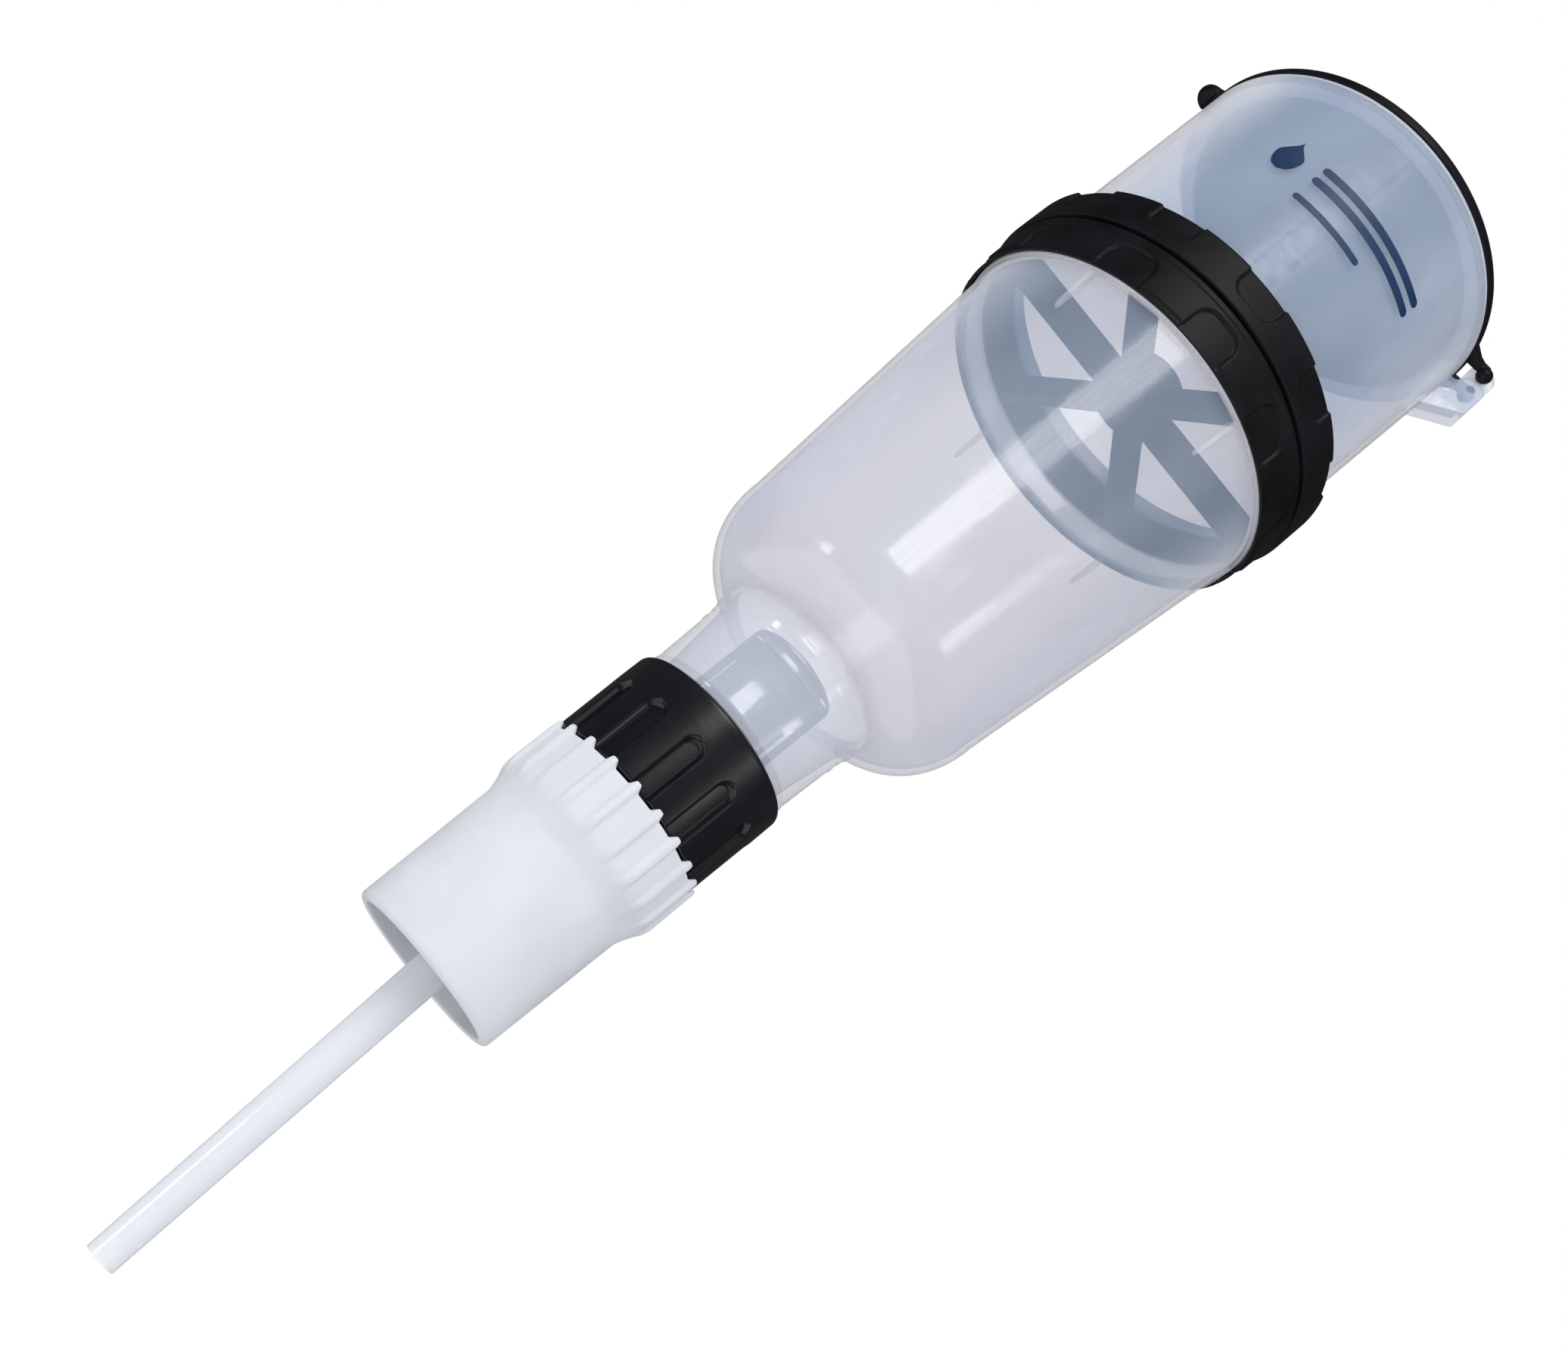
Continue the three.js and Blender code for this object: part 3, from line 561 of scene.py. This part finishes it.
def vessel_ribs():
    """Six short stiffening ribs that fade into the cone just under the coupling."""
    top = span("lower_collar")[0] - 0.4
    bottom = top - 17
    root = 2.4
    slope = (CONE_RADIUS - SHOULDER["outer"]) / (top - SHOULDER["end"])
    low = CONE_RADIUS - slope * (top - bottom)
    outline = [
        (CONE_RADIUS - root, top),
        (CONE_RADIUS + 0.9, top),
        (CONE_RADIUS + 0.55, top - 5),
        (low + 0.5, bottom + 1.2),
        (low - 0.3, bottom),
        (low - 1.2, bottom),
    ]

    def rib(i):
        return plate(f"rib_{i}", [outline], 1.5, 0.4, standing(0))

    ribs = combine("vessel_ribs", copies(rib, VESSEL_RIBS, VESSEL_RIB_TURN))
    # The ribs wear the whiter copy of the vessel plastic, a painted highlight.
    dress(ribs, "bottle", "clear_body", material="rib_clear_painted_highlight")


# ---------- screw coupling ----------
PADS = 12
PAD_TURN = math.radians(11)
PAD = {"width": 17.5, "corner": 5.5, "depth": 0.95, "soft": 0.7}


def padded_ring(name, loop, tip, towards, skin):
    """A ring with finger pads sunk in its outer face, which lies outside the radius skin."""

    def sink(angle, radius, height):
        cover = pad_cover(
            angle, radius, height, PADS, PAD_TURN, PAD["width"], tip, PAD["corner"], PAD["soft"], towards
        )
        return np.where(radius > skin, np.maximum(radius - PAD["depth"] * cover, skin), radius), height

    ring = revolve(name, dense(rounded(loop, 4), 0.45), 900, sink, sharp=50)
    dress(ring, "bottle" if name == "lower_collar" else "upper", "black_plastic", name)


def lower_collar():
    bottom, top = span("lower_collar")
    bore = RIM_RADIUS + 0.3
    loop = [
        (bore, bottom, 0.2),
        (65.3, bottom, 0.35),
        (65.6, bottom + 1.5, 0.3),
        (66, bottom + 1.9, 0.3),
        (66.5, top - 3, 0.3),
        (66.6, top - 2.4),
        (66.85, top - 2, 0.4),
        (66.85, top, 0.5),
        (bore, top, 0.2),
    ]
    padded_ring("lower_collar", loop, top - 3.8, -1, 65.1)


def upper_collar():
    bottom, top = span("upper_collar")
    bore, lip = 64.7, 62.4
    lip_under = 305.4
    loop = [
        (bore, bottom, 0.2),
        (67.9, bottom, 0.5),
        (68.1, top, 0.9),
        (lip, top, 0.4),
        (lip, lip_under, 0.2),
        (bore, lip_under, 0.2),
    ]
    padded_ring("upper_collar", loop, bottom + 3.9, 1, 66.4)


GRID = {"hub": 12.5, "hub_top": 306, "radius": 61.6, "spokes": 6, "spoke": 4.8, "wall": 1.8}


def spoked_grid():
    bottom = span("spoked_grid")[0]
    radius, wall = GRID["radius"], GRID["wall"]
    flange = span("coupling_gasket")[0] - 0.3
    band = revolve(
        "grid_band",
        rounded(
            [
                (radius - wall, bottom, 0.5),
                (radius, bottom, 0.5),
                (radius, flange - 1.7),
                (RIM_RADIUS, flange - 1.7, 0.3),
                (RIM_RADIUS, flange, 0.3),
                (radius - wall, flange, 0.4),
            ]
        ),
        160,
    )
    hub = revolve(
        "grid_hub",
        rounded(
            [
                (0, bottom),
                (GRID["hub"], bottom, 1),
                (GRID["hub"] - 0.5, GRID["hub_top"], 0.6),
                (GRID["hub"] - 2.2, GRID["hub_top"], 0.5),
                (GRID["hub"] - 1.8, bottom + 2, 0.8),
                (0, bottom + 2),
            ]
        ),
        96,
    )
    root, end = 11.5, 60.6
    half = GRID["spoke"] / 2
    outline = [(root, -half), (end, -half), (end, half), (root, half)]
    height = flange - bottom

    def spoke(i):
        return plate(f"spoke_{i}", [outline], height, 0.5, lying(bottom + height / 2))

    grid = combine("spoked_grid", [band, hub, *copies(spoke, GRID["spokes"], PAD_TURN)])
    dress(grid, "bottle", "black_plastic", "spoked_grid")


# ---------- upper vessel ----------
VESSEL_TOP = 397
UPPER = {"bottom": 61.9, "top": 63.9, "mouth": 56.6, "lip": (394.6, 396.2), "flange": 64.2}


def wall_radius(height):
    """The outer radius of the upper vessel's wall at a height."""
    low, high = 305, VESSEL_TOP
    return UPPER["bottom"] + (UPPER["top"] - UPPER["bottom"]) * (height - low) / (high - low)


def upper_vessel():
    bottom = span("upper_vessel")[0]
    top = VESSEL_TOP
    loop = [
        (UPPER["bottom"] - WALL, bottom, 0.4),
        (UPPER["flange"], bottom, 0.4),
        (UPPER["flange"], bottom + 2.9, 0.4),
        (UPPER["bottom"], bottom + 2.9, 0.3),
        (UPPER["top"] - 0.05, top - 1.6),
        (UPPER["top"], top, 0.5),
        (UPPER["top"] - WALL, top, 0.4),
        (UPPER["top"] - WALL, UPPER["lip"][1], 0.3),
        (UPPER["mouth"], UPPER["lip"][1], 0.5),
        (UPPER["mouth"], UPPER["lip"][0], 0.5),
        (UPPER["top"] - WALL, UPPER["lip"][0], 0.8),
    ]
    vessel = revolve("upper_vessel", rounded(loop), 192)
    dress(vessel, "upper", "clear_body", "upper_vessel", material="clear_top")


HINGE = {"x": 71.6, "z": 397.6, "ear": 4.9, "inner": 2.3, "outer": 4.7, "slot": 389.5, "pin": 1.5}
RAMP = {"low": 371, "high": 381, "edge": 76.5}


def hinge_bracket():
    x, z, ear = HINGE["x"], HINGE["z"], HINGE["ear"]
    root = wall_radius(RAMP["low"]) - 0.7
    outline = [
        (root, RAMP["low"] + 0.4),
        (RAMP["edge"] - 0.6, RAMP["high"] - 0.4),
        (RAMP["edge"], RAMP["high"] + 0.4),
        *arc(x, z, ear, 0, 180, 20),
        (x - ear, HINGE["slot"] + 1.6),
        *arc(x - ear - 1.6, HINGE["slot"] + 1.6, 1.6, 0, -90, 5),
        (root, HINGE["slot"]),
    ]
    hole = arc(x, z, HINGE["pin"] + 0.3, 0, -345, 23)
    thickness = HINGE["outer"] - HINGE["inner"]
    middle = (HINGE["outer"] + HINGE["inner"]) / 2
    ears = [
        plate(f"ear_{i}", [outline, hole], thickness, 0.35, standing(y))
        for i, y in enumerate((-middle, middle))
    ]
    sheet = 2
    floor = [
        (root, RAMP["low"] + 0.4),
        (RAMP["edge"] - 0.6, RAMP["high"] - 0.4),
        (RAMP["edge"], RAMP["high"] + 0.4),
        (RAMP["edge"], RAMP["high"] + 4),
        (RAMP["edge"] - sheet, RAMP["high"] + 4),
        (RAMP["edge"] - sheet, RAMP["high"] + 1.2),
        (root, RAMP["low"] + sheet + 1),
    ]
    ramp = plate("ramp", [floor], 2 * HINGE["inner"] + 0.8, 0.3, standing(0))
    bracket = combine("hinge_bracket", [*ears, ramp])
    dress(bracket, "upper", "clear_body", material="clear_top")


# ---------- lid ----------
LID = {
    "radius": 64.3,
    "bottom": 397.3,
    "top": 400.7,
    "panel": 398.2,
    "plug": (54.6, 56.2),
    "plug_end": 394.9,
}
TAB_TURN = math.radians(191)


def lid_disc():
    radius, bottom, top = LID["radius"], LID["bottom"], LID["top"]
    inner, outer = LID["plug"]
    groove = UPPER["top"] - WALL - 0.3
    seat = span("lid_seal")[1] + 0.3
    return revolve(
        "lid_disc",
        rounded(
            [
                (0, LID["panel"]),
                (inner, LID["panel"], 0.4),
                (inner, LID["plug_end"], 0.3),
                (outer, LID["plug_end"], 0.6),
                (outer, seat, 0.2),
                (groove, seat, 0.2),
                (groove, bottom, 0.2),
                (radius, bottom, 0.5),
                (radius, top, 1.2),
                (radius - 3.4, top, 0.6),
                (radius - 4, top - 0.7, 0.4),
                (radius - 14, top - 0.7, 0.3),
                (radius - 14.6, top - 1.1, 0.3),
                (0, top - 1.1),
            ]
        ),
        192,
    )


def lid_tab():
    """The thumb tab: a thick tongue beyond the vessel's wall, and the neck that joins it to the rim."""
    reach, half = 5.4, 5.6
    middle = LID["radius"] + 0.7
    tip = [
        (middle + reach * math.cos(a), half * math.sin(a))
        for a in np.linspace(-math.pi / 2, math.pi / 2, 25)
    ]
    tongue = plate("tongue", [tip], 4.6, 1.9, lying(LID["bottom"] + 1.3))
    inner = LID["radius"] - 2.5
    outer = middle + 1.6
    neck_outline = [
        (inner, -half - 1.5),
        (outer, 0.6 - half),
        (outer, half - 0.6),
        (inner, half + 1.5),
    ]
    neck = plate("neck", [neck_outline], 2.8, 0.5, lying(LID["bottom"] + 1.65))
    return [turned(tongue, TAB_TURN), turned(neck, TAB_TURN)]


def lid_arm(side):
    """One hinge arm with its ball end and inward pin."""
    x, z = HINGE["x"], HINGE["z"]
    inner = 5.1
    outline = [
        (62.5, inner),
        (x, inner),
        (x, 8.1),
        (x - 3, 8.3),
        (x - 5, 9.2),
        (x - 7, 11),
        (62.5, 13),
    ]
    arm = plate("arm", [[(px, side * py) for px, py in outline]], 3, 0.45, lying(LID["bottom"] + 1.75))
    ball_y, flat_y, ball = 6.3, 5, 2.9
    profile = [(0, flat_y)]
    cap = math.sqrt(ball**2 - (ball_y - flat_y) ** 2)
    start = math.atan2(flat_y - ball_y, cap)
    for a in np.linspace(start, math.pi / 2, 14)[:-1]:
        profile.append((ball * math.cos(a), ball_y + ball * math.sin(a)))
    profile.append((0, ball_y + ball))
    pin = [
        (0, HINGE["inner"] + 0.3),
        (1.2, HINGE["inner"] + 0.3),
        (HINGE["pin"], HINGE["inner"] + 0.6),
        (HINGE["pin"], 6),
        (0, 6),
    ]
    lay = Matrix.Translation((x * MM, 0, z * MM)) @ Matrix.Rotation(-side * math.pi / 2, 4, "X")
    parts = [arm]
    for name, loop in (("ball", profile), ("pin", pin)):
        part = revolve(name, loop, 40)
        part.data.transform(lay)
        parts.append(part)
    return parts


def lid():
    disc = combine("lid", [lid_disc(), *lid_tab(), *lid_arm(1), *lid_arm(-1)], sharp=28)
    dress(disc, "lid", "black_plastic", "lid")


def lid_seal():
    bottom, top = span("lid_seal")
    loop = [(57.2, bottom, 0.4), (61.2, bottom, 0.4), (61.2, top, 0.4), (57.2, top, 0.4)]
    dress(revolve("lid_seal", rounded(loop), 160), "lid", "seal_clear", "lid_seal")


def coupling_gasket():
    bottom, top = span("coupling_gasket")
    loop = [(60.2, bottom, 0.4), (RIM_RADIUS, bottom, 0.4), (RIM_RADIUS, top, 0.4), (60.2, top, 0.4)]
    gasket = revolve("coupling_gasket", rounded(loop), 160)
    dress(gasket, "coupling_ring", "rubber_black", "coupling_gasket")


# ---------- print on the upper vessel ----------
PRINT_TURN = math.radians(-79)  # the middle of the print faces the camera
PRINT_HEIGHT = 357


def wrapped_patch(name, rows, columns=24, lift=0.04, ink=0.1):
    """A thin printed shape on the wall.

    rows are (height, middle, half width), with widths along the wall."""
    layers = []
    for raised in (lift, lift + ink):
        for height, middle, half in rows:
            radius = wall_radius(height) + raised
            for t in np.linspace(-1, 1, columns + 1):
                angle = PRINT_TURN + (middle + half * t) / radius
                layers.append((radius * math.cos(angle), radius * math.sin(angle), height))
    wide = columns + 1
    layer = len(rows) * wide
    faces = []
    for r in range(len(rows) - 1):
        for c in range(columns):
            a = r * wide + c
            quad = (a, a + 1, a + 1 + wide, a + wide)
            faces.append(quad[::-1])
            faces.append(tuple(v + layer for v in quad))
    edge = list(range(wide))
    edge += [r * wide + columns for r in range(1, len(rows))]
    edge += [(len(rows) - 1) * wide + c for c in range(columns - 1, -1, -1)]
    edge += [r * wide for r in range(len(rows) - 2, 0, -1)]
    for a, b in zip(edge, edge[1:] + edge[:1]):
        faces.append((a, b, b + layer, a + layer))
    return from_points(name, layers, faces)


def stripe_rows(middle, height, length, thickness):
    """A stripe with round ends."""
    end = thickness / 2
    rows = []
    for u in np.linspace(-math.pi / 2, math.pi / 2, 9):
        rows.append((height + end * math.sin(u), middle, length / 2 - end + end * math.cos(u)))
    return rows


def drop_rows(middle, height, size):
    """A drop with its point upwards."""
    rows = []
    for t in np.linspace(0, 1, 17):
        swell = math.sqrt(max(1 - (2 * t - 1) ** 2, 0)) if t < 0.5 else 1 - ease((t - 0.5) / 0.5) ** 0.8
        rows.append((height + (t - 0.42) * size, middle, 0.02 + 0.33 * size * swell))
    return rows


def print_mark():
    """A plain drop and level stripes, in blue ink."""
    shapes = [
        drop_rows(-30, PRINT_HEIGHT, 15),
        stripe_rows(8, PRINT_HEIGHT + 4, 54, 3),
        stripe_rows(8, PRINT_HEIGHT - 1.5, 54, 3),
        stripe_rows(-4, PRINT_HEIGHT - 11, 30, 2.4),
    ]
    for i, rows in enumerate(shapes):
        mark = wrapped_patch(f"print_mark_{i + 1}", rows)
        dress(mark, "upper", "clear_body", material="print_blue")


# ---------- neck nut ----------
NUT = {"skin": 27.4, "pads": 12, "turn": math.radians(9), "width": 8, "tip": 94.2, "corner": 4, "soft": 1.3}
NUT_PAD_DEPTH = 1.9
NUT_PAD_END = 104


def neck_nut():
    top = span("neck_nut")[1]
    bottom = 71.3
    bore, spigot = 27.1, 26.9
    loop = [
        (23.5, 52, 0.3),
        (spigot, 52, 0.4),
        (spigot, bottom, 0.2),
        (30.5, bottom, 0.6),
        (30.9, top - 9),
        (30.9, top, 1.7),
        (bore, top, 0.5),
        (bore, 77.2),
        (19, 77.2, 0.4),
        (19, 73, 0.4),
        (23.5, 71, 0.3),
    ]

    def sink(angle, radius, height):
        skin = NUT["skin"]
        cover = pad_cover(
            angle,
            radius,
            height,
            NUT["pads"],
            NUT["turn"],
            NUT["width"],
            NUT["tip"],
            NUT["corner"],
            NUT["soft"],
            -1,
        )
        padded = (radius > skin) & (height < NUT_PAD_END)
        lower = np.where(padded, radius - NUT_PAD_DEPTH * cover, radius)
        return np.where(radius > skin, np.maximum(lower, skin), radius), height

    nut = revolve("neck_nut", dense(rounded(loop), 0.5), 720, sink, sharp=50)
    dress(nut, "bottle", "nut_black", "neck_nut")


# ---------- valve ----------
CAGE = {"radius": 16.4, "wall": 1.6, "windows": 6, "window": (107.5, 131), "arc": math.radians(40)}


def valve_cage():
    bottom, top = span("valve_cage")
    radius = CAGE["radius"]
    inner = radius - CAGE["wall"]
    hole = 9.6
    shell = revolve(
        "cage",
        rounded(
            [
                (inner, bottom, 0.2),
                (radius, bottom, 0.2),
                (radius, CAGE["window"][0] - 3, 0.3),
                (radius + 0.4, CAGE["window"][0] - 2.4, 0.3),
                (radius, CAGE["window"][0] - 1.8, 0.3),
                (radius, top, 0.9),
                (hole, top, 0.5),
                (hole, top - 2.6, 0.4),
                (inner, top - 2.6, 0.4),
            ]
        ),
        120,
    )
    half = inner * math.sin(CAGE["arc"] / 2)
    low, high = CAGE["window"]
    outline = [
        (-half, low),
        (half, low),
        *arc(half - 1.2, high - 1.2, 1.2, 0, 90, 4),
        *arc(1.2 - half, high - 1.2, 1.2, 90, 180, 4),
    ]
    place = Matrix.Rotation(math.pi / 2, 4, "Z") @ standing(-14)

    def window(i):
        return plate(f"window_{i}", [outline], 10, 0.01, place)

    cutters = copies(window, CAGE["windows"], math.radians(30))
    cage = combine("valve_cage", [shell, *cutters], "DIFFERENCE")
    dress(cage, "bottle", "black_plastic", "valve_cage")


SPRING = {"radius": 6.4, "wire": 1.2, "turns": 8}


def valve_spring():
    """The poppet's return spring, drawn as a fixed helix with a mesh of its own; in the real valve its
    lower end rises with the poppet.
    """
    bottom, top = span("valve_spring")
    wire = SPRING["wire"] / 2
    corners, steps = 10, 40 * SPRING["turns"]
    points = []
    for t in np.linspace(0, 1, steps + 1):
        a = FULL_TURN * SPRING["turns"] * t
        height = bottom + wire + (top - bottom - 2 * wire) * t
        for c in np.arange(corners) / corners * FULL_TURN:
            radius = SPRING["radius"] + wire * math.cos(c)
            points.append((radius * math.cos(a), radius * math.sin(a), height + wire * math.sin(c)))
    faces = []
    for s in range(steps):
        for c in range(corners):
            a, b = s * corners + c, s * corners + (c + 1) % corners
            faces.append((a, b, b + corners, a + corners))
    faces.append(tuple(range(corners))[::-1])
    faces.append(tuple(steps * corners + c for c in range(corners)))
    spring = from_points("valve_spring", points, faces)
    dress(spring, "bottle", "spring_steel", "valve_spring")
    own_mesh(spring)


# ---------- adapter and spout ----------
RIBS = 20
RIB_TURN = math.radians(6)
RIB_RADIUS = 31


def adapter_socket():
    rib_end = span("adapter_socket")[1]
    skirt_end = 70.6
    socket = 23.9
    crest = socket - 0.9
    ridges = [
        (socket, 20.6),
        (crest, 20),
        (crest, 19),
        (socket, 18.4),
        (socket, 14.6),
        (crest, 14),
        (crest, 13),
        (socket, 12.4),
        (socket, 8.6),
        (crest, 8),
        (crest, 7),
        (socket, 6.4),
    ]
    loop = [
        (6.8, 30, 0.5),
        (socket, 30, 0.8),
        *ridges,
        (socket, 0, 0.9),
        (27, 0, 1.8),
        (28, 45.8, 1.5),
        (29.2, 49.2, 1.2),
        (30.5, 52.5, 1.6),
        (30.6, skirt_end, 0.9),
        (27.3, skirt_end, 0.6),
        (27.3, 64.1),
        (28.5, 64.1),
        (28.5, 61.5),
        (27.3, 61.5),
        (27.3, 50.6, 0.3),
        (24.8, 50.6, 0.3),
        (24.8, 34, 0.5),
        (6.8, 34, 0.3),
    ]

    def knurl(angle, radius, height):
        pitch = FULL_TURN / RIBS
        across = np.abs((angle - RIB_TURN + pitch / 2) % pitch - pitch / 2) * RIB_RADIUS
        ridge = ease((2.3 - across) / 1.7)
        grown = ease((height - 49.5) / 7) * ridge
        raised = np.where(radius > 28.6, radius + 1.15 * grown, radius)
        near_rim = ease((height - (skirt_end - 3)) / 3) * (radius > 29.3)
        return raised, height + (rib_end - skirt_end - 0.6) * ridge * near_rim

    adapter = revolve("adapter_socket", dense(rounded(loop), 0.7), 640, knurl, sharp=50)
    dress(adapter, "adapter", "white_plastic", "adapter_socket")


SPOUT = {"length": 105.6, "tip": 4.8, "root": 5.9, "wall": 1.1, "pivot": 34.8}
SPOUT_LEAN = Matrix.Rotation(-math.radians(2.35), 4, AWAY)


def spout_tube():
    tip, root, wall = SPOUT["tip"], SPOUT["root"], SPOUT["wall"]
    bottom = -SPOUT["length"] - SPOUT["pivot"]
    loop = [
        (tip - wall, bottom, 0.2),
        (tip, bottom, 0.2),
        (tip + 0.5, bottom / 2),
        (root, -2, 0.6),
        (root, 0, 0.3),
        (8.5, 0, 0.3),
        (8.5, 1, 0.3),
        (root - wall, 1, 0.3),
        (tip - wall + 0.5, bottom / 2),
    ]
    tube = revolve("spout_tube", rounded(loop), 72)
    tube.data.transform(Matrix.Translation((0, 0, SPOUT["pivot"] * MM)) @ SPOUT_LEAN)
    dress(tube, "adapter", "spout_clear", "spout_tube")


# ---------- CAD nodes that keep their shape ----------
def dress_cad_nodes():
    slots = {part["node"]: part["material_slot"] for part in frame["record"]["subparts"]}
    for name, node in frame["nodes"].items():
        if not node.hide_render:
            node.data.materials.clear()
            node.data.materials.append(materials[slots[name]])


def add_floor():
    half = FLOOR_SIZE / 2
    edges = ((-half, -half), (half, -half), (half, half), (-half, half))
    corners = [(x / MM, y / MM, FLOOR_HEIGHT / MM) for x, y in edges]
    floor = from_points("floor", corners, [(0, 1, 2, 3)])
    white = moulded("floor_white", ((0.88, 0.88, 0.88), (0.91, 0.91, 0.91)), (0.8, 0.9))
    floor.data.materials.append(white)


add_camera()
add_world()
add_softbox("key", -12, 30, (0.46, 0.64), 4.5)
add_softbox("lamp", -54, -23, (0.16, 0.2), 0.7)
add_softbox("window", 48, 12, (0.2, 0.34), 0.9)
add_softbox("soft", -30, 50, (1.5, 1.5), 6, 1.6, mirrored=False)
add_floor()
bpy.context.scene.view_settings.view_transform = "Standard"

lower_vessel()
vessel_ribs()
lower_collar()
upper_collar()
spoked_grid()
coupling_gasket()
upper_vessel()
hinge_bracket()
lid()
lid_seal()
print_mark()
neck_nut()
valve_cage()
valve_spring()
adapter_socket()
spout_tube()
dress_cad_nodes()
